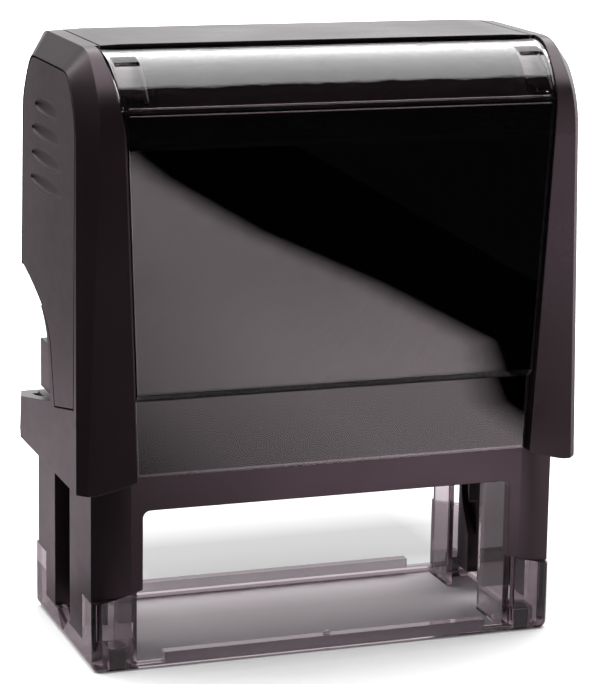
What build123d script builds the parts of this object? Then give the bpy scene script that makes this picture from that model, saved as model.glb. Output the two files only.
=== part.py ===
from build123d import *
import math
import os

# Self-inking stamp: a black cap slides down over a frame that stands on a clear base. The cap's
# two drive arms carry the die carrier, which turns over on its way down: the die leaves the ink
# pad above it and lands on the paper below.
# Frame: millimetres, X right, Y towards the back, Z up. The origin is on the ground, under the
# middle of the cap. Profiles are drawn as (Y, Z), front views as (X, Z), plans as (X, Y).

# ---- driving dimensions -------------------------------------------------------------------
STROKE = 26.0                    # travel of the cap
PLATE_X, PLATE_Y = 58.0, 22.0    # text plate
PIVOT_Y, PIVOT_Z = 0.8, 30.5     # axis of the die carrier, cap up
DIE_HEIGHT = 4.5                 # from the pivot axis to the printing face
PAD_GAP = 1.0                    # printing face to ink pad, which the corners need to swing clear

TRUNNION_R = 2.0
FOLLOWER_R, FOLLOWER_ARM = 1.2, 4.0
RUN = 0.05                       # running clearance on a radius
SLIDE = 0.3                      # clearance between sliding parts

CAP_X = 39.85                    # half width of the cap at its foot
CAP_TOP, CAP_SIDE_FOOT, CAP_FRONT_FOOT = 92.85, 28.3, 30.4
CHEEK_X, RIM_X = 30.7, 39.55     # where the rounded cheeks begin, and their rim, carried to the ground
RIM_LEAN, SIDE_LEAN = 1.94, 0.6  # degrees that the rim and the sides lean in
ROOF_SEAM_Y = -9.5
FOLD_Z, STEP_Z = 43.2, 41.9      # fold of the front window, and the set-back panel below it
CARD_TOP_Z = 84.4
WINDOW_FOOT_X, WINDOW_SHOULDER_X, WINDOW_TOP_X = 30.5, 32.9, 34.4
WINDOW_INSET, WINDOW_T, CARD_T = 0.45, 0.9, 0.2
ROOF_PANEL_X, SEAM_W = 34.1, 0.3
TAB_X0, TAB_X1 = 29.4, 33.4      # lined end of the index strip
SLOT_Z, SLOT_H, PEG_W = 90.4, 0.5, 1.9
LOWER_PANEL_Y, LOWER_T = -19.4, 0.7

CAVITY_X, CAVITY_FRONT, CAVITY_BACK = 37.45, -17.95, 17.6

FRAME_X, FRAME_FRONT, FRAME_BACK = 37.0, -17.6, 15.7
FRAME_TOP, WALL = 55.0, 1.6
OPENING_X, OPENING_TOP = 29.5, 24.8
BAR_TOP = 35.6                   # top of the rear crossbar
CHANNEL_HALF = 4.5               # half width of the channel for each drive arm
HOUSING_X0, HOUSING_X1 = 31.6, 34.2
DECK_Z0, DECK_Z1 = 47.5, 49.5

BASE_X, BASE_FRONT, BASE_BACK = 37.0, -17.5, 16.9
BASE_WALL, BASE_CORNER = 1.7, 1.5
BASE_SIDE_TOP, POST_Y = 3.5, 10.8
SKIRT_X0, SKIRT_X1 = 29.8, 30.8  # clear skirts just inside the window opening
FOOT_X, FOOT, FOOT_HEIGHT = 32.9, 2.6, 3.0

ARM_X0, ARM_X1 = 34.4, 36.8
TRAY_X, TRAY_TOP = 30.4, 44.5
GRIP_TOP = 44.2
CARRIER_END_X = 30.9
PAD_HALF_X, PAD_HALF_Y = PLATE_X / 2 + 0.4, PLATE_Y / 2 + 0.9
PAD_TOP, CLOTH_T = 42.0, 0.4
SPRING_Y, POST_R, POST_TOP = -0.8, 3.2, 60.0
COVER_T, COVER_GAP = 1.2, 0.3

# ---- derived ------------------------------------------------------------------------------
PITCH = STROKE / math.pi         # cap travel per radian of the die carrier
PAD_Z = PIVOT_Z + DIE_HEIGHT + PAD_GAP
GROUND = Plane.XY


# ---- helpers ------------------------------------------------------------------------------
def block(x0, x1, y0, y1, z0, z1):
    centre = Pos((x0 + x1) / 2, (y0 + y1) / 2, (z0 + z1) / 2)
    return centre * Box(x1 - x0, y1 - y0, z1 - z0)


def outline(points):
    return make_face(Polyline(*points, close=True))


def prism_x(face, x0, x1):
    """Extrude a (Y, Z) face from x0 to x1."""
    plane = Plane(origin=(x0, 0, 0), x_dir=(0, 1, 0), z_dir=(1, 0, 0))
    return extrude(plane * face, amount=x1 - x0, dir=(1, 0, 0))


def prism_y(face, y0, y1):
    """Extrude an (X, Z) face from y0 to y1."""
    plane = Plane(origin=(0, y0, 0), x_dir=(1, 0, 0), z_dir=(0, -1, 0))
    return extrude(plane * face, amount=y1 - y0, dir=(0, 1, 0))


def prism_z(face, z0, z1):
    """Extrude an (X, Y) face from z0 to z1."""
    return extrude(GROUND.offset(z0) * face, amount=z1 - z0, dir=(0, 0, 1))


def rod_x(radius, x0, x1, y, z):
    """Round bar along X."""
    return prism_x(Pos(y, z) * Circle(radius), x0, x1)


def mirrored(solid):
    return mirror(solid, about=Plane.YZ)


def pair(solid):
    return solid + mirrored(solid)


def save(node, shape):
    shape.label = node
    export_step(shape, os.path.join("parts", node + ".step"))


# ---- cap ----------------------------------------------------------------------------------
# The cap's profile in the middle, at the rim of the flat roof, and at its sides. Each is a foot
# and a shoulder at the front, two points of the shoulder's curve, the roof's two ends, two points
# of the rear curve, and the shoulder and foot at the back.
CUT_Z = 24.0
INNER_PROFILE = [(-20.8, CUT_Z), (-21.8, 79), (-20.2, 86.4), (-15.6, 91.1), (-8.5, CAP_TOP),
                 (11, CAP_TOP), (16.4, 90.9), (20.3, 86.4), (21.8, 79), (21.8, CUT_Z)]
RIM_PROFILE = [(-19.7, CUT_Z), (-20.6, 79), (-18.9, 86.2), (-14.7, 90.6), (-8, 92.7),
               (10.5, 92.7), (15.6, 90.4), (19.2, 85.8), (20.6, 79), (21.3, CUT_Z)]
OUTER_PROFILE = [(-18.5, CUT_Z), (-16.4, 78), (-15.0, 84.6), (-12.2, 88.3), (-7.5, 89.4),
                 (8, 89.4), (11.6, 87.7), (14.0, 84.2), (15.2, 78), (15.8, CUT_Z)]


# Outline of a side cover, in the same order, and its edge beside the finger notch, front to back.
COVER_PROFILE = [(-16.4, CUT_Z), (-15.8, 78), (-14.6, 84.3), (-11.9, 87.8), (-7.3, 89.0),
                 (7.8, 89.0), (11.2, 87.3), (13.4, 83.9), (14.6, 78), (15.2, CUT_Z)]
COVER_EDGE = [(-5.6, 38.6), (-3.4, 46.0), (2.2, 52.0), (14.5, 56.3), (26, 58.3)]
NOTCH_EDGE = [(-2.7, 38.6), (-1.4, 45.5), (3.5, 52.2), (15.0, 56.1), (26, 57.9)]
NOTCH_FLOOR = [(26, 33.9), (15.8, 34.9)]
GROOVES = [(82.2, 6.7), (78.4, 8.6), (74.6, 8.6), (70.8, 9.1)]   # height and half length


def cap_profile(points):
    foot_f, shoulder_f, f1, f2, roof_f, roof_b, b1, b2, shoulder_b, foot_b = points
    edges = Line(foot_f, shoulder_f)
    edges += Spline(shoulder_f, f1, f2, roof_f, tangents=[(0, 1), (1, 0)])
    edges += Line(roof_f, roof_b)
    edges += Spline(roof_b, b1, b2, shoulder_b, tangents=[(1, 0), (0, -1)])
    edges += Line(shoulder_b, foot_b)
    edges += Line(foot_b, foot_f)
    return make_face(edges)


def side_plane(x, lean=0.0):
    """Plane of a section at x whose upper end leans in towards the middle."""
    normal = (math.cos(math.radians(lean)), 0, math.sin(math.radians(lean)))
    return Plane(origin=(x, 0, 0), x_dir=(0, 1, 0), z_dir=normal)


def cap_block():
    """Solid outer form of the cap."""
    middle = prism_x(cap_profile(INNER_PROFILE), -CHEEK_X, CHEEK_X)
    foot_shift = CAP_SIDE_FOOT * math.tan(math.radians(SIDE_LEAN))
    inner = side_plane(CHEEK_X) * cap_profile(INNER_PROFILE)
    rim = side_plane(RIM_X, RIM_LEAN) * cap_profile(RIM_PROFILE)
    outer = side_plane(CAP_X + foot_shift, SIDE_LEAN) * cap_profile(OUTER_PROFILE)
    cheek = loft([inner, rim], ruled=True) + loft([rim, outer], ruled=True)
    return middle + cheek + mirrored(cheek)


def below_cap_foot():
    """Everything under the foot of the cap, whose front and back edges are higher than its sides."""
    edge_x = CAP_X - 2.4
    wide = CAP_X + 5
    foot = Polyline((-wide, CAP_SIDE_FOOT), (-wide, CUT_Z - 5), (wide, CUT_Z - 5),
                    (wide, CAP_SIDE_FOOT), (edge_x, CAP_SIDE_FOOT))
    right = ThreePointArc((edge_x, CAP_SIDE_FOOT), (34.6, 29.0), (CHEEK_X, CAP_FRONT_FOOT))
    level = Line((CHEEK_X, CAP_FRONT_FOOT), (-CHEEK_X, CAP_FRONT_FOOT))
    left = ThreePointArc((-CHEEK_X, CAP_FRONT_FOOT), (-34.6, 29.0), (-edge_x, CAP_SIDE_FOOT))
    close = Line((-edge_x, CAP_SIDE_FOOT), (-wide, CAP_SIDE_FOOT))
    return prism_y(make_face(foot + right + level + left + close), -30, 30)


def cap_cavity():
    """Space inside the cap that the frame and base rise into."""
    plan = Pos(0, (CAVITY_FRONT + CAVITY_BACK) / 2) * Rectangle(2 * CAVITY_X, CAVITY_BACK - CAVITY_FRONT)
    plan = fillet(plan.vertices().group_by(Axis.Y)[0], 2.4)
    roof = outline([(CAVITY_FRONT, CUT_Z - 1), (CAVITY_FRONT, 81.5), (-14.5, 84.8), (-9.5, 88.2),
                    (-6, 90.4), (8, 90.4), (13.0, 86.5), (CAVITY_BACK, 78), (CAVITY_BACK, CUT_Z - 1)])
    return prism_z(plan, CUT_Z - 1, CAP_TOP) & prism_x(roof, -CAVITY_X, CAVITY_X)


def window_curve(inset):
    """Front of the cap from the roof seam down to the fold, set in from the cap's profile."""
    seam = (ROOF_SEAM_Y, CAP_TOP - 0.05 - inset)
    shoulder = (-21.8 + inset, 79)
    return [Spline(seam, (-15.6 + 0.5 * inset, 91.1 - 0.85 * inset),
                   (-20.2 + 0.8 * inset, 86.4 - 0.6 * inset), shoulder,
                   tangents=[(-1, -0.08), (0, -1)]),
            Line(shoulder, (-21.15 + inset, FOLD_Z))]


def window_band(inset, thickness, lower_y, lower_t, foot_z):
    """Sheet that follows the cap's front: over the shoulder, down to the fold, and set back below."""
    outer = window_curve(inset)
    inner = window_curve(inset + thickness)
    fold_out = outer[1] @ 1
    fold_in = inner[1] @ 1
    edges = outer[0] + outer[1]
    edges += Polyline((fold_out.X, fold_out.Y), (lower_y, STEP_Z), (lower_y, foot_z),
                      (lower_y + lower_t, foot_z), (lower_y + lower_t, STEP_Z),
                      (fold_in.X, fold_in.Y))
    edges += inner[1] + inner[0]
    edges += Line(inner[0] @ 0, outer[0] @ 0)
    return make_face(edges)


def window_sides(clearance):
    """Front view of the window opening, which narrows towards its foot."""
    side = [(WINDOW_FOOT_X + clearance, CUT_Z), (WINDOW_SHOULDER_X + clearance, 81),
            (WINDOW_TOP_X + clearance, CAP_TOP + 1)]
    return outline(side + [(-x, z) for x, z in reversed(side)])


def window_recess():
    """Seat of the front window and its card, and the pocket behind the index strip."""
    depth = WINDOW_T + CARD_T + 0.02
    front = -26
    lower_back = LOWER_PANEL_Y + LOWER_T + CARD_T + 0.02
    seat = window_band(-4, WINDOW_INSET + 4 + depth, front, lower_back - front, CUT_Z)
    pocket = outline([(ROOF_SEAM_Y, 92.3), (ROOF_SEAM_Y, 90.4), (-13.5, 87.6), (-16.9, 85.4),
                      (-18.0, CARD_TOP_Z), (-22, CARD_TOP_Z), (-22, 92.3)])
    return (prism_x(seat, -40, 40) + prism_x(pocket, -40, 40)) & prism_y(window_sides(0.4), -30, 10)


def above_edge(edge, corners):
    """Side view of what lies inside corners and the curved edge of the finger notch."""
    curve = Spline(*edge[1:], tangents=[(0.2, 1), (1, 0.15)])
    return make_face(Line(edge[0], edge[1]) + curve + Polyline(edge[-1], *corners, edge[0]))


def finger_notch():
    """Opening in each side of the cap through which the cartridge's grips are reached."""
    return prism_x(above_edge(NOTCH_EDGE, NOTCH_FLOOR), -CAP_X - 3, CAP_X + 3)


def rear_opening():
    """Opening in the back of the cap that the ink cartridge slides out through."""
    low, high = 34.9, 73.8
    return block(-37.2, 37.2, 10, 30, low, high)


def cover_face(gap):
    """Side view of a side cover, grown by gap all round to make its seat."""
    grown = [(y + math.copysign(gap, y), z + gap) for y, z in COVER_PROFILE]
    edge = [(y + gap, z - gap) for y, z in COVER_EDGE]
    corners = [(26, 99), (-30, 99), (-30, 40.7 - gap), (-15.9, 40.7 - gap)]
    return cap_profile(grown) & above_edge(edge, corners)


def side_layer(face, floor_drop):
    """Layer on the leaning side of the cap, floor_drop deep."""
    foot_x = CAP_X + CAP_SIDE_FOOT * math.tan(math.radians(SIDE_LEAN))
    return extrude(side_plane(foot_x - floor_drop, SIDE_LEAN) * face, amount=floor_drop)


def side_cover():
    cover = side_layer(cover_face(0), COVER_T)
    for height, half_length in GROOVES:
        grip = scale(Sphere(1), by=(0.9, half_length, 1.25))
        side_x = CAP_X - (height - CAP_SIDE_FOOT) * math.tan(math.radians(SIDE_LEAN))
        cover -= Pos(side_x, 0.6, height) * grip
    return cover


def lock_window(grow):
    return 8 + grow, 77.0 - grow, 83.0 + grow


def cap_shell():
    shell = cap_block() - below_cap_foot() - cap_cavity() - window_recess()
    shell -= finger_notch() + rear_opening()
    cover_seat = side_layer(cover_face(COVER_GAP), COVER_T + 0.05)
    roof_groove = block(ROOF_PANEL_X - SEAM_W, ROOF_PANEL_X, ROOF_SEAM_Y - 1, 13, CAP_TOP - 0.4, CAP_TOP + 1)
    shell -= pair(cover_seat + roof_groove)
    half, low, high = lock_window(0.2)
    shell -= block(-half, half, 14, 24, low, high)
    shell -= block(-half - 2.1, half + 2.1, 13.2, 17.0, low - 3, high + 0.4)
    spring_cup = prism_z(Circle(7.2) - Circle(6.0), 86.5, 90.6)
    return shell + Pos(0, SPRING_Y, 0) * spring_cup


def index_window():
    sheet = prism_x(window_band(WINDOW_INSET, WINDOW_T, LOWER_PANEL_Y, LOWER_T, CAP_FRONT_FOOT),
                    -40, 40) & prism_y(window_sides(0), -30, 10)
    lining = prism_x(window_band(WINDOW_INSET + WINDOW_T / 2, WINDOW_T / 2 + 0.6, LOWER_PANEL_Y, 0.1,
                                 CAP_FRONT_FOOT), TAB_X0, TAB_X1)
    tab = lining & block(TAB_X0, TAB_X1, -22, ROOF_SEAM_Y, 85.2, SLOT_Z - 0.1)
    slot = block(TAB_X0 + 0.2, TAB_X1, -20, ROOF_SEAM_Y - 1, SLOT_Z, SLOT_Z + SLOT_H)
    peg = Pos((TAB_X0 + TAB_X1) / 2, -20.0, 85.8) * Rot(-25, 0, 0) * Box(PEG_W, 1.0, 0.9)
    return sheet + pair(tab) + pair(peg) - pair(slot)


def index_card():
    sheet = prism_x(window_band(WINDOW_INSET + WINDOW_T, CARD_T, LOWER_PANEL_Y + LOWER_T, CARD_T,
                                CAP_FRONT_FOOT + 0.4), -40, 40)
    below_strip = block(-40, 40, -30, 0, CUT_Z, CARD_TOP_Z - 0.3)
    return sheet & below_strip & prism_y(window_sides(-0.3), -30, 10)


def drive_arm():
    """Arm that hangs from the cap in the frame's channel and carries one end of the die carrier."""
    half = CHANNEL_HALF - SLIDE
    tip_z = PIVOT_Z - 3.4
    shape = outline([(PIVOT_Y, tip_z), (PIVOT_Y + half, tip_z + 3.6), (PIVOT_Y + half, 88.6),
                     (PIVOT_Y - half, 88.6), (PIVOT_Y - half, tip_z + 3.6)])
    arm = prism_x(shape, ARM_X0, ARM_X1)
    arm += block(ARM_X1, CAVITY_X, PIVOT_Y - half, PIVOT_Y + half, 60, 88.6)
    return arm - rod_x(TRUNNION_R + RUN, ARM_X0 - 1, 36.3, PIVOT_Y, PIVOT_Z)


def lock_button():
    half, low, high = lock_window(0)
    button = block(-half, half, 16.9, 21.6, low, high)
    button += block(-half - 2, half + 2, 15.6, 16.9, low - 1.5, high)
    ridges = [block(-half + 2, half - 2, 21.2, 22, low + step, low + step + 0.6)
              for step in (1.2, 2.7, 4.2)]
    for ridge in ridges:
        button -= ridge
    return button


# ---- die carrier --------------------------------------------------------------------------
def die_layer(half_x, half_y, low, high):
    """Layer of the die stack; low and high are heights over the pivot axis."""
    return block(-half_x, half_x, PIVOT_Y - half_y, PIVOT_Y + half_y, PIVOT_Z + low, PIVOT_Z + high)


def die_carrier():
    plate = die_layer(PLATE_X / 2 + 0.4, PLATE_Y / 2 + 0.2, -1.4, 1.6)
    rib = die_layer(PLATE_X / 2, 1.6, -3.0, -1.4)
    web = Pos(PIVOT_Y, PIVOT_Z) * Circle(3.6)
    web += Pos(PIVOT_Y, PIVOT_Z - FOLLOWER_ARM) * Circle(FOLLOWER_R + 0.7)
    web += Pos(PIVOT_Y, PIVOT_Z - FOLLOWER_ARM / 2) * Rectangle(3.8, FOLLOWER_ARM)
    end = prism_x(web, PLATE_X / 2 + 0.4, CARRIER_END_X)
    trunnion = rod_x(TRUNNION_R, CARRIER_END_X, 36.2, PIVOT_Y, PIVOT_Z)
    follower = rod_x(FOLLOWER_R, CARRIER_END_X, 32.9, PIVOT_Y, PIVOT_Z - FOLLOWER_ARM)
    return plate + rib + pair(end + trunnion + follower)


def text_plate_holder():
    return die_layer(PLATE_X / 2, PLATE_Y / 2, 1.6, 2.5)


def die_cushion():
    return die_layer(PLATE_X / 2 - 0.2, PLATE_Y / 2 - 0.2, 2.5, 3.2)


def text_die():
    """Rubber die with plain raised bars in place of text."""
    die = die_layer(PLATE_X / 2, PLATE_Y / 2, 3.2, 3.9)
    rows = 4
    pitch = 4.8
    for row in range(rows):
        y = (row - (rows - 1) / 2) * pitch
        half = PLATE_X / 2 - 3 - 4 * (row % 2)
        bar = die_layer(half, 0.9, 3.9, DIE_HEIGHT)
        die += Pos(0, y, 0) * bar
    return die


# ---- ink cartridge ------------------------------------------------------------------------
def cartridge_tray():
    rim_z = PAD_Z + 0.5
    front, back = PIVOT_Y - PAD_HALF_Y - 1.2, PIVOT_Y + PAD_HALF_Y + 1.0
    tray = block(-TRAY_X, TRAY_X, front, back, rim_z, TRAY_TOP)
    tray -= block(-PAD_HALF_X - 0.1, PAD_HALF_X + 0.1, PIVOT_Y - PAD_HALF_Y - 0.1,
                  PIVOT_Y + PAD_HALF_Y + 0.1, rim_z - 1, PAD_TOP)
    rib = block(TRAY_X, HOUSING_X0 - 0.3, front, back, 38.7, 40.2)
    grip = block(33.0, 36.6, 9.4, 15.4, rim_z, GRIP_TOP)
    plate = block(-33.0, 33.0, back, 15.4, rim_z, GRIP_TOP)
    pull = block(-12, 12, 14.6, 16, 39, 45)
    return tray + plate + pair(rib + grip) - pull


def pad_block(low, high):
    return block(-PAD_HALF_X, PAD_HALF_X, PIVOT_Y - PAD_HALF_Y, PIVOT_Y + PAD_HALF_Y, low, high)


def ink_pad():
    return pad_block(PAD_Z + CLOTH_T, PAD_TOP)


def pad_cloth():
    return pad_block(PAD_Z, PAD_Z + CLOTH_T)


# ---- frame --------------------------------------------------------------------------------
def leg_plan(side_x, front, back):
    """Plan of the frame, whose front curves back at both corners."""
    corner, flat, mid = (side_x, front + 1.7), (side_x - 5.7, front), (side_x - 2.6, front + 0.55)
    half = Line((0, front), flat)
    half += ThreePointArc(flat, mid, corner)
    half += Polyline(corner, (side_x, back), (0, back))
    return make_face(half + mirror(half, about=Plane.YZ))


def leg_foot(clearance):
    """Front view of the space under the legs, whose foot rises in an arc towards the window."""
    low, high = 10.8 - clearance, 12.6 - clearance
    wide = FRAME_X + 3
    right = ThreePointArc((FRAME_X, low), (33.6, low + 0.75), (OPENING_X, high))
    left = ThreePointArc((-OPENING_X, high), (-33.6, low + 0.75), (-FRAME_X, low))
    rest = Polyline((-FRAME_X, low), (-wide, low), (-wide, -1), (wide, -1), (wide, low), (FRAME_X, low))
    return make_face(right + Line((OPENING_X, high), (-OPENING_X, high)) + left + rest)


def under_legs(clearance):
    """Space outside the frame's foot. The middle of each side wall reaches further down."""
    foot = prism_y(leg_foot(clearance), -30, 30)
    apron = block(-50, 50, -POST_Y, POST_Y, BASE_SIDE_TOP, 20)
    inner = block(-FRAME_X + WALL + 1.2, FRAME_X - WALL - 1.2, -12, 20, BASE_SIDE_TOP, 20)
    return foot - apron - inner


def window_opening():
    shape = Pos(0, OPENING_TOP / 2) * Rectangle(2 * OPENING_X, OPENING_TOP)
    top_corners = shape.vertices().group_by(Axis.Y)[-1]
    return prism_y(fillet(top_corners, 1.2), FRAME_FRONT - 2, 0)


def rear_window():
    half, cut = FRAME_X - WALL, 4.0
    shape = outline([(-half, -1), (half, -1), (half, OPENING_TOP - cut), (half - cut, OPENING_TOP),
                     (-half + cut, OPENING_TOP), (-half, OPENING_TOP - cut)])
    return prism_y(shape, 0, FRAME_BACK + 2)


def follower_path():
    """Centre line of the cam: the follower's path as the carrier turns half round over the stroke."""
    steps = 12
    points = []
    for step in range(steps + 1):
        turn = math.pi * step / steps
        points.append((PIVOT_Y + FOLLOWER_ARM * math.sin(turn),
                       PIVOT_Z - PITCH * turn - FOLLOWER_ARM * math.cos(turn)))
    return points


def cam_groove():
    """Blind groove, and the straight slot that the trunnion runs in."""
    radius = FOLLOWER_R + 0.12
    path = Spline(*follower_path())
    ends = [Pos(*path.position_at(place)) * Circle(radius) for place in (0, 1)]
    left = []
    right = []
    steps = 24
    for step in range(steps + 1):
        at = path.position_at(step / steps)
        along = path.tangent_at(step / steps)
        left.append((at.X - along.Y * radius, at.Y + along.X * radius))
        right.append((at.X + along.Y * radius, at.Y - along.X * radius))
    band = make_face(Spline(*left) + Line(left[-1], right[-1]) + Spline(*right)
                     + Line(right[0], left[0]))
    groove = prism_x(band + ends[0] + ends[1], HOUSING_X0 - 1, 33.1)
    slot_r = TRUNNION_R + 0.1
    low = PIVOT_Z - STROKE
    slot_face = Pos(PIVOT_Y, (PIVOT_Z + low) / 2) * Rectangle(2 * slot_r, STROKE)
    slot_face += Pos(PIVOT_Y, low) * Circle(slot_r)
    slot_face += Pos(PIVOT_Y, PIVOT_Z) * Circle(slot_r)
    return groove + prism_x(slot_face, HOUSING_X0 - 1, HOUSING_X1 + 1)


def frame():
    plan = leg_plan(FRAME_X, FRAME_FRONT, FRAME_BACK)
    body = prism_z(plan, BASE_SIDE_TOP + 0.1, FRAME_TOP)
    inside = block(-FRAME_X + WALL, FRAME_X - WALL, FRAME_FRONT + 2, FRAME_BACK - 2, -1, FRAME_TOP + 1)
    body -= inside
    body -= window_opening() + rear_window()
    body -= block(-40, 40, PIVOT_Y + CHANNEL_HALF, FRAME_BACK + 1, BAR_TOP, FRAME_TOP + 1)
    housing = block(HOUSING_X0, FRAME_X - WALL, PIVOT_Y - 6.0, PIVOT_Y + 6.3, 2.2, FRAME_TOP)
    ledge = block(HOUSING_X0 - 0.9, HOUSING_X0, PIVOT_Y - 6.0, PIVOT_Y + 6.3, 37.0, 38.4)
    deck = block(-HOUSING_X0, HOUSING_X0, FRAME_FRONT + 2, 13.0, DECK_Z0, DECK_Z1)
    post = Pos(0, SPRING_Y) * Circle(POST_R)
    body += pair(housing + ledge) + deck + prism_z(post, DECK_Z1, POST_TOP)
    channel = block(HOUSING_X1, 45, PIVOT_Y - CHANNEL_HALF, PIVOT_Y + CHANNEL_HALF, 0, FRAME_TOP + 1)
    return body - pair(channel + cam_groove()) - under_legs(0)


# ---- clear base ---------------------------------------------------------------------------
def corner_places():
    inset = BASE_WALL + 1.7
    return [(x, y) for x in (-FOOT_X, FOOT_X) for y in (BASE_FRONT + inset, BASE_BACK - inset)]


def base_ring():
    """Wall of the base, whole, with rounded front corners and a rounded foot."""
    length, middle = BASE_BACK - BASE_FRONT, (BASE_FRONT + BASE_BACK) / 2
    outer = Pos(0, middle) * Rectangle(2 * BASE_X, length)
    outer = fillet(outer.vertices().group_by(Axis.Y)[0], BASE_CORNER)
    inner = Pos(0, middle) * Rectangle(2 * (BASE_X - BASE_WALL), length - 2 * BASE_WALL)
    solid = prism_z(outer, 0, 13)
    solid = fillet(solid.edges().group_by(Axis.Z)[0], 1.2)
    return solid - prism_z(inner, -1, 14)


def clear_base():
    ring = base_ring()
    gap_x = OPENING_X + 1.4
    posts = ring & prism_y(leg_foot(0.12), -30, 30)
    posts -= block(-gap_x, gap_x, -20, 20, -1, 20)
    posts -= block(-50, 50, -POST_Y - 0.12, POST_Y + 0.12, -1, 20)
    sides = ring & block(-50, 50, -POST_Y - 0.12, POST_Y + 0.12, -1, BASE_SIDE_TOP)
    sill = ring & block(-gap_x, gap_x, -20, 20, -1, 0.9)
    bar = ring & block(-26, 26, -20, 20, -1, 2.5)
    mark = block(-0.4, 0.4, BASE_FRONT + 0.3, BASE_FRONT + 1.0, 0.3, 3.1)
    base = posts + sides + sill + bar + mark
    tip = outline([(PIVOT_Y, 0.8), (PIVOT_Y + CHANNEL_HALF, 4.6), (PIVOT_Y - CHANNEL_HALF, 4.6)])
    base -= pair(prism_x(tip, BASE_X - BASE_WALL - 1, BASE_X + 1))
    sweep = FOLLOWER_ARM + FOLLOWER_R + 1.2   # reach of the carrier's ends round the pivot
    skirt = block(SKIRT_X0, SKIRT_X1, -15.5, PIVOT_Y - sweep, 0, OPENING_TOP - 0.4)
    skirt += block(SKIRT_X0, SKIRT_X1, PIVOT_Y + sweep, 13.6, 0, OPENING_TOP - 0.4)
    floor = block(SKIRT_X0, BASE_X - 1, -16.5, -POST_Y - 0.12, 0, 0.8)
    floor += block(SKIRT_X0, BASE_X - 1, POST_Y + 0.12, 15.9, 0, 0.8)
    base += pair(skirt + floor)
    pocket, height = FOOT + 0.8, FOOT_HEIGHT + 0.6
    for x, y in corner_places():
        base += Pos(x, y, 0) * prism_z(Rectangle(pocket, pocket), 0, height)
    for x, y in corner_places():
        base -= Pos(x, y, 0) * prism_z(Rectangle(FOOT + 0.1, FOOT + 0.1), -1, FOOT_HEIGHT + 0.1)
    return base


def corner_feet():
    """Anti-slip rubber foot in each corner of the base."""
    feet = []
    for x, y in corner_places():
        foot = prism_z(Pos(x, y) * RectangleRounded(FOOT, FOOT, 0.6), 0, FOOT_HEIGHT)
        feet.append(foot)
    return Compound(children=feet)


# ---- return spring ------------------------------------------------------------------------
def return_spring():
    wire, coil = 0.6, 4.6
    turns = 10
    length = 90.4 - DECK_Z1 - 2 * wire
    path = Helix(pitch=length / turns, height=length, radius=coil)
    section = Plane(origin=path @ 0, z_dir=path % 0) * Circle(wire)
    return Pos(0, SPRING_Y, DECK_Z1 + wire) * sweep(section, path=path)


# ---- write the nodes ----------------------------------------------------------------------
def main():
    os.makedirs("parts", exist_ok=True)
    arm = drive_arm()
    cover = side_cover()
    save("cap_shell", cap_shell())
    save("right_side_cover", cover)
    save("left_side_cover", mirrored(cover))
    save("index_window", index_window())
    save("index_card", index_card())
    save("right_drive_arm", arm)
    save("left_drive_arm", mirrored(arm))
    save("lock_button", lock_button())
    save("die_carrier", die_carrier())
    save("text_plate_holder", text_plate_holder())
    save("die_cushion", die_cushion())
    save("text_die", text_die())
    save("cartridge_tray", cartridge_tray())
    save("ink_pad", ink_pad())
    save("pad_cloth", pad_cloth())
    save("frame", frame())
    save("clear_base", clear_base())
    save("corner_feet", corner_feet())
    save("return_spring", return_spring())


main()
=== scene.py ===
import math

import bmesh
import bpy
from mathutils import Matrix, Vector, noise


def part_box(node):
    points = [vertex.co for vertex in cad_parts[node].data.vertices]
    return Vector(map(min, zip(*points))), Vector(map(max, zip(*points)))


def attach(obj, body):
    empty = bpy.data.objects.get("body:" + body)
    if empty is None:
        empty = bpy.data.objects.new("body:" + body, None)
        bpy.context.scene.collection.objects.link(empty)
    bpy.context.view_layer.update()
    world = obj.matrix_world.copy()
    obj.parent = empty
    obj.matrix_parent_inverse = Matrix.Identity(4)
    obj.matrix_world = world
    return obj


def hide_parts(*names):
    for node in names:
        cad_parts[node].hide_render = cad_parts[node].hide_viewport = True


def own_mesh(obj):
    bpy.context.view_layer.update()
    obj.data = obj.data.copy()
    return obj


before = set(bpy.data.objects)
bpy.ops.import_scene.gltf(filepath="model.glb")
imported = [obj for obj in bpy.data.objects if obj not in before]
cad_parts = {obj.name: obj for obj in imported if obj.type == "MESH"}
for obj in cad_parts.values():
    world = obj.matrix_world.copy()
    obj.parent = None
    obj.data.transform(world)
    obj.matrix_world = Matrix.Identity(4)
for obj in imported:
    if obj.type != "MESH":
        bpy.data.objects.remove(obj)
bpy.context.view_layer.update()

# The stamp stands on a pale floor in a small studio: a softbox overhead, a bright wall behind, and
# pale cards round it for its glossy plastic to mirror, one of them on the table in front.
# Metres: X right, Y towards the back, Z up, as in the CAD model.
MM = 0.001

# ---- camera -------------------------------------------------------------------------------
CAMERA_AT = (-0.1370, -0.3855, 0.1395)
CAMERA_YAW, CAMERA_PITCH, CAMERA_ROLL = -19.61, 13.05, 0.95   # degrees
LENS, SENSOR = 142.3, 36.0

# ---- floor and room -----------------------------------------------------------------------
FLOOR_SIZE = 6.0
FLOOR_FRONT = -0.06              # in front of this, mirrors see the dark room and the table's card
FLOOR_GLOW = 0.35
SHADED_FLOOR = (0.42, 0.385, 0.405)      # painted shade under the stamp, at the back
SHADED_FRONT = (0.72, 0.66, 0.695)       # painted shade at the front, paler, since less light reaches it
SHADED_FROM = 0.004                      # Y where the front's colour has faded out
SHADE_LOW, SHADE_HIGH = (-0.06, -0.03), (0.08, 0.095)   # (X, Y) of the soft painted shade behind the stamp
SHADE_SOFT = (0.045, 0.055)      # width of the patch's soft rim, along X and Y
SHADE_BEHIND = 0.30              # and its floor colour, painted shade
ROOM_GREY = 0.02
BACKDROP = 0.9
PINKISH = (1.0, 0.87, 0.93)

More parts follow.
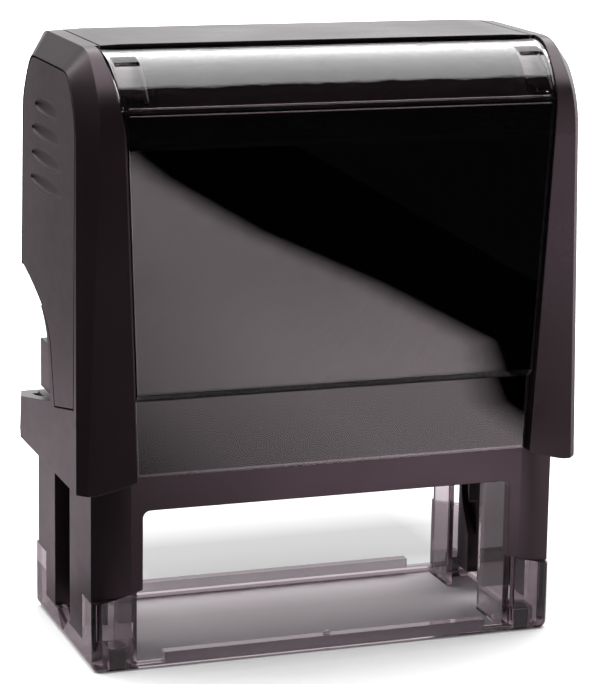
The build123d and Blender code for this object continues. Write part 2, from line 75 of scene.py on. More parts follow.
# ---- light cards --------------------------------------------------------------------------
# Their places and strengths. A stop is a place along one axis and the share of the strength there.
SOFTBOX_X, SOFTBOX_Y, SOFTBOX_Z = (-0.9, 1.2), (-0.24, 1.2), 0.75
SOFTBOX, SOFTBOX_STOPS = 5.6, [(-0.24, 0.5), (0.2, 0.9), (1.2, 1.0)]
SOFTBOX_MIRRORED = 3.6
SOFTBOX_MIRRORED_STOPS = [(-0.24, 0.75), (0.0, 1.0), (0.6, 1.0), (1.2, 0.9)]
WALL_X, WALL_Y, WALL_TOP = (-1.8, 2.4), 1.5, 1.3
WALL_STOPS = [(0.0, 1.5), (0.3, 1.5), (0.45, 0.85), (1.3, 0.85)]
WALL_FADE_X, WALL_LEFT_SHARE = (-0.25, 0.15), 0.30      # the wall dims to that share on the left
LEFT_X, LEFT_Y, LEFT_TOP, LEFT_GLOW = -1.1, (1.0, 1.5), 0.9, 0.8
TABLE_X, TABLE_FAR, TABLE_GLOW = (-0.03, 0.13), -0.62, 3.0
TABLE_Z = 0.0005                 # height of the lying cards, just clear of the floor
TABLE_EDGE = [(TABLE_FAR, 0.083), (-0.37, 0.075), (-0.30, 0.079), (-0.24, 0.089), (-0.185, 0.094),
              (-0.155, 0.084), (FLOOR_FRONT, 0.079)]    # the card's right edge, as (Y, X)
TABLE_BLUR = 0.005               # half the width of that edge's blur
TABLE_FADE = [(-0.03, 0.0), (-0.005, 0.15), (0.02, 0.60), (0.05, 0.93), (0.08, 1.0)]   # along X
TABLE_DEPTH = [(TABLE_FAR, 0.0), (-0.54, 0.8), (-0.25, 0.78), (-0.17, 1.05), (FLOOR_FRONT, 1.05)]
EDGE_SCALE = 10                  # the edge's X is ten times larger in its ramp, to fill 0 to 1
RIGHT_CARD = [(0.12, FLOOR_FRONT), (0.35, -0.50), (0.9, -0.50), (0.9, FLOOR_FRONT)]
RIGHT_GLOW = 1.5
RIGHT_WALL_X, RIGHT_WALL_FAR, RIGHT_WALL_TOP = 0.9, -1.0, 0.7
RIGHT_WALL_GLOW, RIGHT_WALL_STOPS = 1.1, [(0.0, 1.0), (0.7, 0.3)]
MIRRORED_FLOOR = [(-0.045, FLOOR_FRONT), (2, FLOOR_FRONT), (2, 1.5), (-1.5, 1.5), (-0.045, 0.05)]
MIRRORED_FLOOR_GLOW = 0.56
LEFT_MIRROR = [(-0.13, 0.07), (-0.042, 0.02), (-0.042, 0.20), (-0.13, 0.20)]
LEFT_MIRROR_LIFT = 2             # it lies above the mirrored floor
LEFT_MIRROR_GLOW, LEFT_MIRROR_STOPS = 1.2, [(0.02, 1.0), (0.13, 1.0), (0.20, 0.4)]


# ---- helpers for shaders ------------------------------------------------------------------
def new_material(name):
    made = bpy.data.materials.new(name)
    made.use_nodes = True
    tree = made.node_tree
    return made, tree, tree.nodes["Principled BSDF"]


def node(tree, kind, inputs=None, **settings):
    """Add a shader node; an input may be a value or another node's output."""
    made = tree.nodes.new("ShaderNode" + kind)
    for key, value in settings.items():
        setattr(made, key, value)
    for key, value in (inputs or {}).items():
        if isinstance(value, bpy.types.NodeSocket):
            tree.links.new(value, made.inputs[key])
        else:
            made.inputs[key].default_value = value
    return made


def set_inputs(tree, shader, inputs):
    for key, value in inputs.items():
        if isinstance(value, bpy.types.NodeSocket):
            tree.links.new(value, shader.inputs[key])
        else:
            shader.inputs[key].default_value = value


def rgba(colour):
    return (*colour, 1.0)


def noise_map(tree, scale, detail=3.0, stretch=None):
    """Noise over the piece; scale is in waves per metre."""
    place = node(tree, "TexCoord").outputs["Object"]
    if stretch:
        place = node(tree, "Mapping", {"Vector": place, "Scale": stretch}).outputs["Vector"]
    return node(tree, "TexNoise", {"Vector": place, "Scale": scale, "Detail": detail}).outputs["Fac"]


def spread(tree, value, low, high, start=0.3, end=0.7):
    """Map value from start..end to low..high."""
    mapped = node(tree, "MapRange", {"Value": value, "From Min": start, "From Max": end,
                                     "To Min": low, "To Max": high})
    return mapped.outputs["Result"]


def blend_colours(tree, amount, first, second):
    mixed = node(tree, "Mix", {"Factor": amount, "A": first, "B": second}, data_type="RGBA")
    return mixed.outputs["Result"]


def edge_mask(tree, radius):
    """Bevelled normal, and how close the surface is to an edge, from 0 to 1."""
    round_normal = node(tree, "Bevel", {"Radius": radius}, samples=4).outputs["Normal"]
    flat_normal = node(tree, "NewGeometry").outputs["Normal"]
    same = node(tree, "VectorMath", {0: round_normal, 1: flat_normal}, operation="DOT_PRODUCT")
    return round_normal, spread(tree, same.outputs["Value"], 1.0, 0.0, 0.90, 1.0)


# ---- moulded plastics ---------------------------------------------------------------------
WARM = (1.0, 0.80, 0.89, 1.0)    # tint of the black plastic's sheen
SMOKE, SMOKE_DENSITY = (0.50, 0.42, 0.46), 520.0   # body colour and strength, per metre
SMOKE_CLEARNESS = 0.985


def moulded(name, colour, roughness, grain, depth, worn=0.012, edge=0.25 * MM, side_grain=0.0,
            specular=0.5):
    """Moulded plastic: cloudy gloss, a fine grain of that size and depth, and rubbed edges.

    side_grain adds roughness and grain to the faces that look sideways, as on a cap whose sides
    are textured and whose front is smooth."""
    made, tree, shader = new_material(name)
    normal, near_edge = edge_mask(tree, edge)
    cloud = noise_map(tree, 45)
    smear = noise_map(tree, 260, 5, (0.3, 1, 2))
    rub = node(tree, "Math", {0: near_edge, 1: spread(tree, smear, 0.1, 1.0)}, operation="MULTIPLY")
    paler = [c * 1.35 for c in colour]
    shade = blend_colours(tree, spread(tree, cloud, 0, 1), rgba(colour), rgba(paler))
    shade = blend_colours(tree, rub.outputs["Value"], shade, rgba((worn, worn * 0.9, worn * 0.92)))
    gloss = spread(tree, cloud, roughness - 0.04, roughness + 0.04)
    gloss = node(tree, "Math", {0: gloss, 1: spread(tree, smear, -0.015, 0.015)}, operation="ADD")
    gloss = gloss.outputs["Value"]
    fine = noise_map(tree, 1 / grain, 2)
    strength = 0.6
    if side_grain:
        facing = node(tree, "SeparateXYZ", {0: node(tree, "NewGeometry").outputs["Normal"]})
        sideways = node(tree, "Math", {0: facing.outputs["X"]}, operation="ABSOLUTE").outputs["Value"]
        sideways = spread(tree, sideways, 0, 1, 0.93, 0.985)
        extra = node(tree, "Math", {0: sideways, 1: side_grain}, operation="MULTIPLY")
        gloss = node(tree, "Math", {0: gloss, 1: extra.outputs["Value"]}, operation="ADD")
        gloss = gloss.outputs["Value"]
        strength = spread(tree, sideways, 0.10, 1.0, 0, 1)
    bump = node(tree, "Bump", {"Strength": strength, "Distance": depth, "Height": fine,
                               "Normal": normal})
    set_inputs(tree, shader, {"Base Color": shade, "Roughness": gloss,
                              "Normal": bump.outputs["Normal"],
                              "Specular IOR Level": specular, "Specular Tint": WARM})
    return made


def clear_plastic(name, tint, roughness, wave):
    """Clear moulded plastic with fine scratches and a slightly wavy skin."""
    made, tree, shader = new_material(name)
    scratches = noise_map(tree, 900, 6, (1, 0.12, 1))
    smudge = noise_map(tree, 70, 4)
    gloss = node(tree, "Math", {0: spread(tree, smudge, roughness * 0.5, roughness * 1.6),
                                1: spread(tree, scratches, 0, roughness, 0.62, 0.72)}, operation="ADD")
    ripple = noise_map(tree, 110, 1)
    bump = node(tree, "Bump", {"Strength": 0.35, "Distance": wave, "Height": ripple})
    shade = blend_colours(tree, spread(tree, smudge, 0, 1), rgba(tint), rgba([c * 0.94 for c in tint]))
    set_inputs(tree, shader, {"Base Color": shade, "Roughness": gloss.outputs["Value"],
                              "Normal": bump.outputs["Normal"], "IOR": 1.49,
                              "Transmission Weight": 1.0})
    return made


def smoky_plastic():
    """Clear plastic with a smoky body, so that it darkens where the eye looks along a wall."""
    made = clear_plastic("smoky_clear", (0.66, 0.62, 0.645), 0.03, 0.01 * MM)
    tree = made.node_tree
    tree.nodes["Principled BSDF"].inputs["Transmission Weight"].default_value = SMOKE_CLEARNESS
    smoke = node(tree, "VolumeAbsorption", {"Color": rgba(SMOKE), "Density": SMOKE_DENSITY})
    tree.links.new(smoke.outputs["Volume"], tree.nodes["Material Output"].inputs["Volume"])
    return made


def card_stock():
    """Black printed card behind the window: fibres under a dull ink."""
    made, tree, shader = new_material("black_card")
    fibre = noise_map(tree, 1500, 5, (1, 1, 0.25))
    mottle = noise_map(tree, 120, 3)
    shade = blend_colours(tree, spread(tree, mottle, 0, 1), rgba((0.0010, 0.0007, 0.0008)),
                          rgba((0.0020, 0.0014, 0.0016)))
    bump = node(tree, "Bump", {"Strength": 0.3, "Distance": 0.02 * MM, "Height": fibre})
    set_inputs(tree, shader, {"Base Color": shade, "Roughness": spread(tree, fibre, 0.55, 0.75),
                              "Normal": bump.outputs["Normal"], "Specular IOR Level": 0.02})
    return made


def rubber(name, colour, roughness, grain):
    """Soft matt rubber with a dusty bloom."""
    made, tree, shader = new_material(name)
    normal, near_edge = edge_mask(tree, 0.15 * MM)
    bloom = noise_map(tree, 320, 5)
    fine = noise_map(tree, 1 / grain, 3)
    dusty = [min(1.0, c * 1.8 + 0.01) for c in colour]
    shade = blend_colours(tree, spread(tree, bloom, 0, 0.6), rgba(colour), rgba(dusty))
    shade = blend_colours(tree, near_edge, shade, rgba([c * 0.6 for c in colour]))
    bump = node(tree, "Bump", {"Strength": 0.5, "Distance": 0.03 * MM, "Height": fine, "Normal": normal})
    set_inputs(tree, shader, {"Base Color": shade, "Normal": bump.outputs["Normal"],
                              "Roughness": spread(tree, bloom, roughness - 0.06, roughness + 0.06),
                              "Specular IOR Level": 0.35})
    return made


def foam(name, colour, wet):
    """Open-cell foam: round pores with painted shade in their bottoms; wet foam is darker and shines."""
    made, tree, shader = new_material(name)
    place = node(tree, "TexCoord").outputs["Object"]
    cells = node(tree, "TexVoronoi", {"Vector": place, "Scale": 2600.0}, feature="F1")
    pores = spread(tree, cells.outputs["Distance"], 0, 1, 0.12, 0.5)
    blotch = noise_map(tree, 150, 4)
    # painted shade: the pores darken towards their middles
    shade = blend_colours(tree, pores, rgba([c * 0.35 for c in colour]), rgba(colour))
    shade = blend_colours(tree, spread(tree, blotch, 0, 0.5), shade, rgba([c * 0.7 for c in colour]))
    bump = node(tree, "Bump", {"Strength": 0.8, "Distance": 0.08 * MM, "Height": pores})
    set_inputs(tree, shader, {"Base Color": shade, "Normal": bump.outputs["Normal"],
                              "Roughness": spread(tree, blotch, 0.9 - 0.6 * wet, 0.98 - 0.5 * wet)})
    return made


def inked_cloth_stock():
    """Fine plain weave, soaked with black ink."""
    made, tree, shader = new_material("inked_cloth")
    place = node(tree, "TexCoord").outputs["Object"]
    threads = []
    for direction in ("X", "Y"):
        wave = node(tree, "TexWave", {"Vector": place, "Scale": 900.0, "Distortion": 0.6},
                    bands_direction=direction)
        threads.append(wave.outputs["Fac"])
    weave = node(tree, "Math", {0: threads[0], 1: threads[1]}, operation="MULTIPLY").outputs["Value"]
    pool = noise_map(tree, 130, 4)
    shade = blend_colours(tree, weave, rgba((0.002, 0.002, 0.003)), rgba((0.016, 0.014, 0.020)))
    bump = node(tree, "Bump", {"Strength": 0.7, "Distance": 0.05 * MM, "Height": weave})
    set_inputs(tree, shader, {"Base Color": shade, "Roughness": spread(tree, pool, 0.22, 0.5),
                              "Normal": bump.outputs["Normal"]})
    return made


def spring_wire():
    """Bright drawn steel, with fine draw lines and light handling marks."""
    made, tree, shader = new_material("spring_steel")
    lines = noise_map(tree, 3000, 2, (1, 1, 0.15))
    stain = noise_map(tree, 200, 4)
    shade = blend_colours(tree, spread(tree, stain, 0, 1), rgba((0.62, 0.61, 0.60)),
                          rgba((0.46, 0.44, 0.42)))
    bump = node(tree, "Bump", {"Strength": 0.4, "Distance": 0.01 * MM, "Height": lines})
    set_inputs(tree, shader, {"Base Color": shade, "Metallic": 1.0, "Normal": bump.outputs["Normal"],
                              "Roughness": spread(tree, lines, 0.18, 0.34)})
    return made


# ---- a material for each CAD node ---------------------------------------------------------
BLACK = (0.0060, 0.0036, 0.0046)


def dress(material_made, *names):
    for name in names:
        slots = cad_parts[name].material_slots
        for place in slots:
            place.material = material_made


def dress_nodes():
    dress(moulded("black_shell", BLACK, 0.30, 0.24 * MM, 0.03 * MM, side_grain=0.12), "cap_shell")
    dress(moulded("black_textured", BLACK, 0.42, 0.32 * MM, 0.06 * MM, specular=0.36),
          "left_side_cover", "right_side_cover")
    dress(clear_plastic("clear_window", (1.0, 0.99, 0.99), 0.012, 0.004 * MM), "index_window")
    dress(card_stock(), "index_card")
    dress(moulded("black_inner", BLACK, 0.36, 0.08 * MM, 0.01 * MM),
          "left_drive_arm", "right_drive_arm", "lock_button", "cartridge_tray", "die_carrier")
    dress(moulded("black_frame", BLACK, 0.34, 0.24 * MM, 0.03 * MM, side_grain=0.08), "frame")
    dress(moulded("grey_plate", (0.16, 0.155, 0.15), 0.45, 0.08 * MM, 0.01 * MM, worn=0.24),
          "text_plate_holder")
    dress(rubber("die_rubber", (0.17, 0.055, 0.045), 0.62, 0.09 * MM), "text_die")
    dress(rubber("foot_rubber", (0.010, 0.009, 0.010), 0.7, 0.07 * MM), "corner_feet")
    dress(smoky_plastic(), "clear_base")


# ---- meshes -------------------------------------------------------------------------------
def link(name, built, material_made):
    mesh = bpy.data.meshes.new(name)
    built.to_mesh(mesh)
    built.free()
    mesh.materials.append(material_made)
    made = bpy.data.objects.new(name, mesh)
    bpy.context.scene.collection.objects.link(made)
    return made


def grid_sheet(name, rows, material_made):
    """Smooth sheet through rows of points."""
    built = bmesh.new()
    grid = [[built.verts.new(point) for point in row] for row in rows]
    for below, above in zip(grid, grid[1:]):
        for i in range(len(below) - 1):
            face = built.faces.new((below[i], below[i + 1], above[i + 1], above[i]))
            face.smooth = True
    return link(name, built, material_made)


def thicken(sheet, thickness, offset):
    """Give a sheet its thickness, along its normals at offset 1 and to both sides at 0."""
    solid = sheet.modifiers.new("thickness", "SOLIDIFY")
    solid.thickness = thickness
    solid.offset = offset


def ring_of(middle, radius, first, second, count):
    """Points on a circle in the plane of two directions."""
    turns = [2 * math.pi * k / count for k in range(count)]
    return [middle + radius * (math.cos(turn) * first + math.sin(turn) * second) for turn in turns]


def tube(name, rings, material_made):
    """Closed smooth tube through rings of points."""
    built = bmesh.new()
    loops = [[built.verts.new(point) for point in ring] for ring in rings]
    for before, after in zip(loops, loops[1:]):
        for k in range(len(before)):
            face = built.faces.new((before[k], before[k - 1], after[k - 1], after[k]))
            face.smooth = True
    built.faces.new(loops[0])
    built.faces.new(list(reversed(loops[-1])))
    bmesh.ops.recalc_face_normals(built, faces=built.faces)
    return link(name, built, material_made)


# ---- soft pieces --------------------------------------------------------------------------
FOAM_STEP = 0.9 * MM             # length of the foam's mesh faces
FOAM_CELL, FOAM_ROUGH = 1.1 * MM, 0.03 * MM             # size and height of the cut's unevenness
CLOTH_ACROSS, CLOTH_DEEP = 60, 26                       # faces of the cloth's mesh
CLOTH_WAVE, CLOTH_SLACK = 6 * MM, 0.15       # length of its waves, and their height in thicknesses


def foam_slab(name, low, high, radius, crown, material_made):
    """Block of foam with rounded edges, faces that bulge by crown, and an uneven cut surface."""
    low, high = Vector(low), Vector(high)
    size, middle = high - low, (high + low) / 2
    built = bmesh.new()
    bmesh.ops.create_cube(built, size=1.0)
    for axis in range(3):
        cuts = max(2, int(size[axis] / FOAM_STEP))
        along = [e for e in built.edges
                 if abs((e.verts[0].co - e.verts[1].co)[axis]) > 0.5]
        bmesh.ops.subdivide_edges(built, edges=along, cuts=cuts, use_grid_fill=True)
    inner = size / 2 - Vector((radius, radius, radius))
    for vert in built.verts:
        at = Vector((vert.co.x * size.x, vert.co.y * size.y, vert.co.z * size.z))
        core = Vector([max(-inner[i], min(inner[i], at[i])) for i in range(3)])
        out = at - core
        if out.length > 0:
            at = core + out.normalized() * radius
        bulge = (1 - (2 * at.x / size.x) ** 2) * (1 - (2 * at.y / size.y) ** 2)
        rough = noise.noise(at / FOAM_CELL) * FOAM_ROUGH
        at.z += math.copysign(crown * (bulge - 1), at.z) + rough
        vert.co = middle + at
    for face in built.faces:
        face.smooth = True
    return link(name, built, material_made)


def cloth_over(name, low, high, material_made):
    """Thin cloth stretched over the face of the pad, with its weave's slack as faint waves."""
    thick = high[2] - low[2]
    rows = []
    for j in range(CLOTH_DEEP + 1):
        row = []
        for i in range(CLOTH_ACROSS + 1):
            x = low[0] + (high[0] - low[0]) * i / CLOTH_ACROSS
            y = low[1] + (high[1] - low[1]) * j / CLOTH_DEEP
            wave = noise.noise(Vector((x, y, 0)) / CLOTH_WAVE) * CLOTH_SLACK * thick
            row.append((x, y, low[2] + thick / 2 + wave))
        rows.append(row)
    cloth = grid_sheet(name, rows, material_made)
    thicken(cloth, 0.5 * thick, 0)
    return cloth


def make_soft_pieces():
    low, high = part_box("ink_pad")
    pad = foam_slab("ink_pad_foam", low, high, 0.6 * MM, 0.12 * MM,
                    foam("inked_foam", (0.012, 0.011, 0.016), 0.8))
    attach(pad, "cartridge")
    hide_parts("ink_pad")

    low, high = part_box("pad_cloth")
    cloth = cloth_over("pad_cloth_weave", low, high, inked_cloth_stock())
    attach(cloth, "cartridge")
    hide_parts("pad_cloth")

    low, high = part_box("die_cushion")
    cushion = foam_slab("die_cushion_foam", low, high, 0.25 * MM, 0.0,
                        foam("foam", (0.34, 0.33, 0.31), 0.0))
    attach(cushion, "die")
    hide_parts("die_cushion")


# ---- return spring ------------------------------------------------------------------------
SPRING_TURNS, WIRE = 10, 0.6 * MM            # WIRE is the wire's radius
STEPS_PER_TURN, WIRE_SIDES = 40, 12
END_CROWDING = 0.35              # share by which the coils are closer at the two ends


def make_spring():
    """Coil spring under the cap's roof, fixed to the frame; the real one shortens as the cap comes down.
    """
    low, high = [Vector(corner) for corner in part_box("return_spring")]
    middle = (low + high) / 2
    radius = (high.x - low.x) / 2 - WIRE
    rise = high.z - low.z - 2 * WIRE
    up = Vector((0, 0, 1))
    steps = SPRING_TURNS * STEPS_PER_TURN
    rings = []
    for step in range(steps + 1):
        t = step / steps
        turn = 2 * math.pi * SPRING_TURNS * t
        eased = t - END_CROWDING * math.sin(2 * math.pi * t) / (2 * math.pi)
        out = Vector((math.cos(turn), math.sin(turn), 0))
        centre = Vector((middle.x, middle.y, low.z + WIRE + rise * eased)) + radius * out
        rings.append(ring_of(centre, WIRE, out, up, WIRE_SIDES))
    spring = tube("coil_spring", rings, spring_wire())
    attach(spring, "frame")
    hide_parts("return_spring")
    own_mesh(spring)


# ---- index strip --------------------------------------------------------------------------
STRIP_HALF = 29.2 * MM           # between the lined ends of the strip
STRIP_FOOT, STRIP_TOP = 84.6 * MM, 92.0 * MM
END_INNER, END_OUTER, END_TOP = 29.6 * MM, 33.2 * MM, 87.4 * MM      # the boards behind the tabs
BOARD_GAP, BOARD_THICK = 0.12 * MM, 0.1 * MM
BOARD_STEP, BOARD_ROWS = 1.5 * MM, 24        # faces of a board's mesh
STRIP_RIDGE, STRIP_RIDGE_RADIUS = 84.9 * MM, 0.16 * MM
CARD_RIDGE, CARD_RIDGE_RADIUS = 83.9 * MM, 0.10 * MM
RIDGE_HALF, RIDGE_STEPS, RIDGE_SIDES = STRIP_HALF + 3.4 * MM, 40, 10
BEFORE_WINDOW = -0.03            # Y of a point in front of the window
JUST_INSIDE = 0.05 * MM          # step past its outer skin


def window_skin(x, z, inner):
    """Point on the front window's outer or inner skin, at x and z."""
    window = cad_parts["index_window"]
    way = Vector((0, 1, 0))
    outside = window.ray_cast(Vector((x, BEFORE_WINDOW, z)), way)[1]
    if not inner:
        return outside
    return window.ray_cast(outside + way * JUST_INSIDE, way)[1]


def strip_board_material():
    """Dull dark card with faint fibres."""
    made, tree, shader = new_material("strip_board")
    fibre = noise_map(tree, 1500, 5, (0.3, 1, 1))
    shade = blend_colours(tree, spread(tree, fibre, 0, 1), rgba((0.014, 0.0090, 0.0110)),
                          rgba((0.021, 0.0145, 0.0170)))
    set_inputs(tree, shader, {"Base Color": shade, "Specular IOR Level": 0.02,
                              "Roughness": spread(tree, fibre, 0.7, 0.9)})
    return made


def strip_backing(name, x0, x1, top, material_made):
    """Dull dark board just behind the clear top edge of the window."""
    across = max(6, int((x1 - x0) / BOARD_STEP))
    behind = Vector((0, BOARD_GAP, -BOARD_GAP))
    rows = []
    for j in range(BOARD_ROWS + 1):
        z = STRIP_FOOT + (top - STRIP_FOOT) * j / BOARD_ROWS
        xs = [x0 + (x1 - x0) * i / across for i in range(across + 1)]
        rows.append([window_skin(x, z, True) + behind for x in xs])
    backing = grid_sheet(name, rows, material_made)
    thicken(backing, BOARD_THICK, 1)
    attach(backing, "cap")


def ridge(name, z, radius, material_made):
    """Fine rounded ridge that runs along the window at that height."""
    back, up = Vector((0, 1, 0)), Vector((0, 0, 1))
    xs = [RIDGE_HALF * (2 * i / RIDGE_STEPS - 1) for i in range(RIDGE_STEPS + 1)]
    rings = [ring_of(window_skin(x, z, False), radius, back, up, RIDGE_SIDES) for x in xs]
    made = tube(name, rings, material_made)
    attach(made, "cap")


def make_strip():
    """Boards behind the window's clear top edge, and the two ridges along it."""
    board = strip_board_material()
    strip_backing("index_strip_board", -STRIP_HALF, STRIP_HALF, STRIP_TOP, board)
    strip_backing("left_strip_end", -END_OUTER, -END_INNER, END_TOP, board)
    strip_backing("right_strip_end", END_INNER, END_OUTER, END_TOP, board)
    polished = moulded("black_polished", BLACK, 0.08, 0.05 * MM, 0.001 * MM, specular=1.0)
    ridge("strip_ridge", STRIP_RIDGE, STRIP_RIDGE_RADIUS, polished)
    ridge("card_ridge", CARD_RIDGE, CARD_RIDGE_RADIUS, polished)


# ---- studio -------------------------------------------------------------------------------
def make_camera():
    data = bpy.data.cameras.new("camera")
    data.lens = LENS
    data.sensor_width = SENSOR
    data.clip_start = 0.02
    data.clip_end = 20
    camera = bpy.data.objects.new("camera", data)
    yaw, pitch = math.radians(CAMERA_YAW), math.radians(CAMERA_PITCH)
    level = math.cos(pitch)
    back = Vector((math.sin(yaw) * level, -math.cos(yaw) * level, math.sin(pitch)))
    turn = back.to_track_quat("Z", "Y").to_matrix().to_4x4()
    roll = Matrix.Rotation(math.radians(CAMERA_ROLL), 4, "Z")
    camera.matrix_world = Matrix.Translation(CAMERA_AT) @ turn @ roll
    bpy.context.scene.collection.objects.link(camera)
    bpy.context.scene.camera = camera


def flat_card(name, corners, material_made):
    """Flat piece of the studio, which isn't part of the stamp."""
    built = bmesh.new()
    built.faces.new([built.verts.new(corner) for corner in corners])
    made = link(name, built, material_made)
    return made


def level_corners(x, y, z):
    """Corners of a level rectangle, from its limits along X and Y and its height."""
    return [(x[0], y[0], z), (x[1], y[0], z), (x[1], y[1], z), (x[0], y[1], z)]


def patch(tree, low, high, soft):
    """1 inside a rectangle of the floor and 0 outside, with a soft rim inside it."""
    place = node(tree, "SeparateXYZ", {0: node(tree, "TexCoord").outputs["Object"]})
    inside = 1.0
    for axis, name in enumerate("XY"):
        middle, half = (low[axis] + high[axis]) / 2, (high[axis] - low[axis]) / 2
        off = node(tree, "Math", {0: place.outputs[name], 1: middle}, operation="SUBTRACT")
        off = node(tree, "Math", {0: off.outputs["Value"]}, operation="ABSOLUTE").outputs["Value"]
        near = spread(tree, off, 1, 0, half - soft[axis], half)
        inside = node(tree, "Math", {0: near, 1: inside}, operation="MULTIPLY").outputs["Value"]
    return inside


def floor_material():
    """White floor that glows a little, with painted shade under the stamp and just behind it, where it
    is darker and glows less or not at all.
    """
    made, tree, shader = new_material("floor")
    low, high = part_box("clear_base")
    # painted shade: inside the base's footprint the floor takes the darker colours below and doesn't
    # glow
    inside = patch(tree, low, high, (1 * MM, 1 * MM))
    # painted shade behind the stamp: a soft patch where the floor is darker and its glow fades out
    behind = patch(tree, SHADE_LOW, SHADE_HIGH, SHADE_SOFT)
    speck = noise_map(tree, 14, 4)
    pale = blend_colours(tree, spread(tree, speck, 0, 1), rgba((0.80, 0.80, 0.80)),
                         rgba((0.83, 0.83, 0.83)))
    shade = blend_colours(tree, behind, pale, rgba([SHADE_BEHIND] * 3))
    place = node(tree, "SeparateXYZ", {0: node(tree, "TexCoord").outputs["Object"]})
    back = spread(tree, place.outputs["Y"], 0, 1, low[1], SHADED_FROM)
    under = blend_colours(tree, back, rgba(SHADED_FRONT), rgba(SHADED_FLOOR))
    shade = blend_colours(tree, inside, shade, under)
    light = blend_colours(tree, behind, rgba([FLOOR_GLOW] * 3), rgba((0, 0, 0)))
    light = blend_colours(tree, inside, light, rgba((0, 0, 0)))
    set_inputs(tree, shader, {"Base Color": shade, "Roughness": 0.8, "Specular IOR Level": 0.0,
                              "Emission Color": light, "Emission Strength": 1.0})
    return made


def make_floor():
    """Pale floor in two pieces. Neither is mirrored, and the front one isn't seen through plastic."""
    paint = floor_material()
    half = FLOOR_SIZE / 2
    back = flat_card("floor_back", level_corners((-half, half), (FLOOR_FRONT, half), 0), paint)
    front = flat_card("floor_front", level_corners((-half, half), (-half, FLOOR_FRONT), 0), paint)
    front.visible_transmission = False
    for floor in (back, front):
        floor.visible_glossy = False


def ramp_along(tree, axis, stops, tint=(1.0, 1.0, 1.0)):
    """Colour that follows one axis of a card; stops are (place, share)."""
    place = node(tree, "SeparateXYZ", {0: node(tree, "TexCoord").outputs["Object"]})
    first, last = stops[0][0], stops[-1][0]
    along = spread(tree, place.outputs[axis], 0, 1, first, last)
    ramp = node(tree, "ValToRGB", {"Fac": along})
    marks = ramp.color_ramp.elements
    while len(marks) < len(stops):
        marks.new(0.5)
    for mark, (at, share) in zip(marks, stops):
        mark.position = (at - first) / (last - first)
        mark.color = rgba([share * part for part in tint])
    return ramp.outputs["Color"]


def emission(name):
    """Material that only gives light."""
    made = bpy.data.materials.new(name)
    made.use_nodes = True
    tree = made.node_tree
    tree.nodes.clear()
    light = node(tree, "Emission")
    out = node(tree, "OutputMaterial")
    tree.links.new(light.outputs["Emission"], out.inputs["Surface"])
    return made, tree, light


def glow(name, strength, axis=None, stops=(), tint=(1.0, 1.0, 1.0)):
    """Plain light, or one whose strength follows an axis of its card."""
    made, tree, light = emission(name)
    colour = ramp_along(tree, axis, stops, tint) if axis else rgba(tint)
    set_inputs(tree, light, {"Strength": strength, "Color": colour})
    return made


def table_glow():
    """Pale card that fades to the left and ends on the right in a soft, slightly wandering edge."""
    made, tree, light = emission("table_glow")
    fade = ramp_along(tree, "X", TABLE_FADE, PINKISH)
    edge = ramp_along(tree, "Y", [(y, EDGE_SCALE * x) for y, x in TABLE_EDGE])
    edge = node(tree, "Math", {0: edge, 1: 1 / EDGE_SCALE}, operation="MULTIPLY").outputs["Value"]
    place = node(tree, "SeparateXYZ", {0: node(tree, "TexCoord").outputs["Object"]})
    past = node(tree, "Math", {0: place.outputs["X"], 1: edge}, operation="SUBTRACT")
    lit = spread(tree, past.outputs["Value"], TABLE_GLOW, 0, -TABLE_BLUR, TABLE_BLUR)
    depth = ramp_along(tree, "Y", TABLE_DEPTH)
    lit = node(tree, "Math", {0: lit, 1: depth}, operation="MULTIPLY").outputs["Value"]
    set_inputs(tree, light, {"Strength": lit, "Color": fade})
    return made


def wall_glow():
    """Bright wall: brightest low down, where the roof mirrors it, and dimmer to the left."""
    made, tree, light = emission("wall_glow")
    up = ramp_along(tree, "Z", WALL_STOPS)
    place = node(tree, "SeparateXYZ", {0: node(tree, "TexCoord").outputs["Object"]})
    across = spread(tree, place.outputs["X"], WALL_LEFT_SHARE, 1.0, *WALL_FADE_X)
    set_inputs(tree, light, {"Strength": across, "Color": up})
    return made


def light_card(name, corners, material_made):
    """Card that gives light but isn't in the picture and casts no shadow."""
    made = flat_card(name, corners, material_made)
    made.visible_camera = False
    made.visible_shadow = False
    return made


def mirror_card(name, corners, material_made, through_plastic=True):
    """Light card that is only there to be mirrored, or also seen through clear plastic."""
    made = light_card(name, corners, material_made)
    made.visible_diffuse = False
    made.visible_transmission = through_plastic


def upright(x0, y0, x1, y1, top):
    """Corners of a card that stands on the floor from one point to another."""
    return [(x0, y0, 0.0), (x1, y1, 0.0), (x1, y1, top), (x0, y0, top)]


def lying(points, lift=1):
    """Corners of a card that lies just over the floor."""
    return [(x, y, lift * TABLE_Z) for x, y in points]


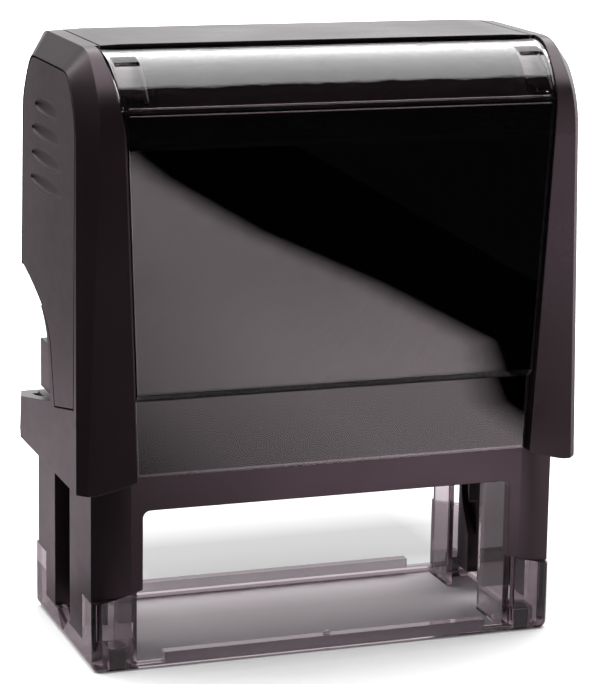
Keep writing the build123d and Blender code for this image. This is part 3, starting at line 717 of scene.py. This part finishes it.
def make_softbox():
    """Overhead softbox, in two cards: one lights matt surfaces, and mirrors see the other."""
    overhead = level_corners(SOFTBOX_X, SOFTBOX_Y, SOFTBOX_Z)
    top = light_card("top_light", overhead, glow("top_glow", SOFTBOX, "Y", SOFTBOX_STOPS))
    top.visible_glossy = False
    top.visible_transmission = False
    mirror_card("top_mirror", overhead,
                glow("top_mirror_glow", SOFTBOX_MIRRORED, "Y", SOFTBOX_MIRRORED_STOPS))


def make_mirror_cards():
    """Wall and cards for the stamp's glossy plastic to mirror. They light nothing else."""
    mirror_card("wall_light", upright(WALL_X[0], WALL_Y, WALL_X[1], WALL_Y, WALL_TOP), wall_glow())
    mirror_card("left_light", upright(LEFT_X, LEFT_Y[0], LEFT_X, LEFT_Y[1], LEFT_TOP),
                glow("left_glow", LEFT_GLOW, tint=PINKISH))
    mirror_card("table_card", level_corners(TABLE_X, (TABLE_FAR, FLOOR_FRONT), TABLE_Z), table_glow())
    mirror_card("right_card", lying(RIGHT_CARD), glow("right_glow", RIGHT_GLOW, tint=PINKISH))
    mirror_card("right_wall",
                upright(RIGHT_WALL_X, RIGHT_WALL_FAR, RIGHT_WALL_X, FLOOR_FRONT, RIGHT_WALL_TOP),
                glow("right_wall_glow", RIGHT_WALL_GLOW, "Z", RIGHT_WALL_STOPS, PINKISH))
    mirror_card("floor_mirror", lying(MIRRORED_FLOOR),
                glow("mirror_glow", MIRRORED_FLOOR_GLOW, tint=PINKISH), False)
    mirror_card("left_mirror", lying(LEFT_MIRROR, LEFT_MIRROR_LIFT),
                glow("left_mirror_glow", LEFT_MIRROR_GLOW, "Y", LEFT_MIRROR_STOPS, PINKISH), False)


def make_world():
    """Dark room for mirrors and a pale one for the camera."""
    world = bpy.data.worlds.new("studio")
    world.use_nodes = True
    tree = world.node_tree
    background = tree.nodes["Background"]
    path = node(tree, "LightPath")
    shade = blend_colours(tree, path.outputs["Is Camera Ray"], rgba([ROOM_GREY] * 3),
                          rgba([BACKDROP] * 3))
    tree.links.new(shade, background.inputs["Color"])
    bpy.context.scene.world = world


bpy.context.scene.view_settings.view_transform = "Standard"
make_camera()
make_world()
make_floor()
make_softbox()
make_mirror_cards()
dress_nodes()
make_soft_pieces()
make_spring()
make_strip()
